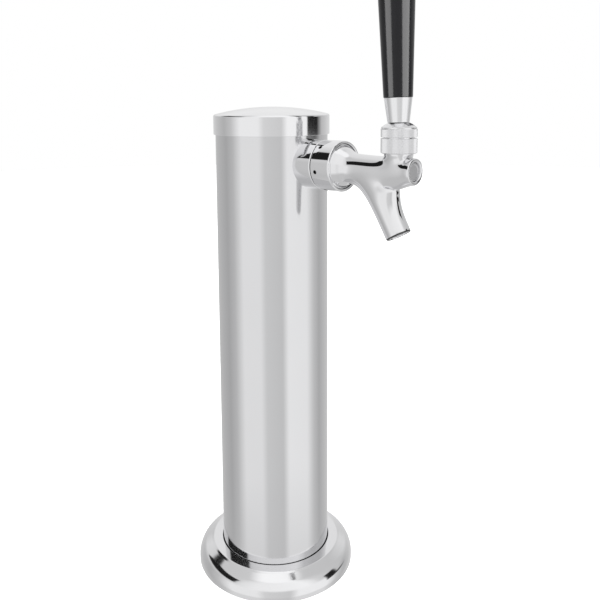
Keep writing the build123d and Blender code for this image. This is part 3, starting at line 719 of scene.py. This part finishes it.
# one light laid over another where a mask is full; either may be a socket or a tone
def mixOver(below, above, mask):
    mix = room.nodes.new("ShaderNodeMix")
    mix.data_type = "RGBA"
    room.links.new(mask, mix.inputs["Factor"])
    room.links.new(below, mix.inputs["A"])
    if isinstance(above, bpy.types.NodeSocket):
        room.links.new(above, mix.inputs["B"])
    else:
        mix.inputs["B"].default_value = (above, above, above, 1)
    return mix.outputs["Result"]


turnRing = room.nodes.new("ShaderNodeMapping")
turnRing.inputs["Rotation"].default_value = (0, 0, -math.radians(studio["heading"]))
room.links.new(room.nodes.new("ShaderNodeTexCoord").outputs["Generated"], turnRing.inputs["Vector"])
way = room.nodes.new("ShaderNodeSeparateXYZ")
room.links.new(turnRing.outputs["Vector"], way.inputs["Vector"])
swing = addMath(room, "ARCTAN2", way.outputs["Y"], way.outputs["X"])
bearing = addMath(room, "MULTIPLY_ADD", swing, 1 / math.tau, 0.5)
height = addMath(room, "MULTIPLY_ADD", way.outputs["Z"], 0.5, 0.5)
rising = greyRamp(height, tuple(zip(studio["upperFrom"], (0, 1))))
light = mixOver(greyRamp(bearing, studio["walls"]), greyRamp(bearing, studio["upperWalls"]), rising)
for label in ("floorGlow", "ceiling"):
    band = studio[label]
    light = mixOver(light, band["tone"], softBand(height, band["height"], band["weight"]))
for part in studio["darkParts"]:
    mask = addMath(room, "MULTIPLY", softBand(bearing, part["bearing"]), softBand(height, part["height"]))
    light = mixOver(light, studio["darkTone"], mask)
path = room.nodes.new("ShaderNodeLightPath")
sky = room.nodes.new("ShaderNodeBackground")
room.links.new(mixOver(light, 1, path.outputs["Is Camera Ray"]), sky.inputs["Color"])
again = addMath(room, "GREATER_THAN", path.outputs["Glossy Depth"], 1.5)
room.links.new(addMath(room, "MULTIPLY_ADD", again, studio["twiceMirrored"] - 1, 1), sky.inputs["Strength"])
room.links.new(sky.outputs["Background"], room.nodes.new("ShaderNodeOutputWorld").inputs["Surface"])

# two tall soft boxes stand round the handle, light it alone and make its two long highlights
handleMiddle = (0, -0.102, 0.4)
handleBoxes = {
    "boxLeft": {"bearing": 158, "reach": 0.6, "size": (0.43, 0.7), "glow": 10.0},
    "boxRight": {"bearing": 275, "reach": 0.6, "size": (0.58, 0.7), "glow": 12.5},
}
handleOnly = bpy.data.collections.new("handleOnly")
handleOnly.objects.link(handlePiece)
for label, box in handleBoxes.items():
    width, tall = box["size"]
    boxData = bpy.data.lights.new(label, "AREA")
    boxData.shape, boxData.size, boxData.size_y = "RECTANGLE", width, tall
    boxData.energy = math.pi * width * tall * box["glow"]
    softBox = bpy.data.objects.new(label, boxData)
    turn = math.radians(box["bearing"])
    softBox.location = Vector(handleMiddle) + box["reach"] * Vector((math.cos(turn), math.sin(turn), 0))
    softBox.rotation_euler = (math.pi / 2, 0, turn + math.pi / 2)
    softBox.light_linking.receiver_collection = handleOnly
    bpy.context.scene.collection.objects.link(softBox)

lamp = {"place": (-0.5, -0.9, 1.6), "aim": (0, 0, 0.15), "size": 1.6, "watts": 34}
lampData = bpy.data.lights.new("softLamp", "AREA")
lampData.shape, lampData.size, lampData.energy = "DISK", lamp["size"], lamp["watts"]
softLamp = bpy.data.objects.new("softLamp", lampData)
softLamp.location = lamp["place"]
softLamp.rotation_euler = (Vector(lamp["aim"]) - Vector(lamp["place"])).to_track_quat("-Z", "Y").to_euler()
softLamp.visible_glossy = False
bpy.context.scene.collection.objects.link(softLamp)

camera = {
    "place": (-0.34354, -0.34470, 0.333395), "heading": 44.105, "pitch": -7.805, "roll": -0.456,
    "lens": 42.736, "sensor": 36, "shift": (0.02602, -0.17798), "clip": (0.01, 20),
}
cameraData = bpy.data.cameras.new("camera")
cameraData.lens, cameraData.sensor_width = camera["lens"], camera["sensor"]
cameraData.shift_x, cameraData.shift_y = camera["shift"]
cameraData.clip_start, cameraData.clip_end = camera["clip"]
viewer = bpy.data.objects.new("camera", cameraData)
viewer.matrix_world = (
    Matrix.Translation(camera["place"])
    @ Matrix.Rotation(math.radians(camera["heading"] - 90), 4, "Z")
    @ Matrix.Rotation(math.radians(90 + camera["pitch"]), 4, "X")
    @ Matrix.Rotation(math.radians(camera["roll"]), 4, "Z")
)
bpy.context.scene.collection.objects.link(viewer)
bpy.context.scene.camera = viewer
bpy.context.scene.view_settings.view_transform = "Standard"
print("studio done")
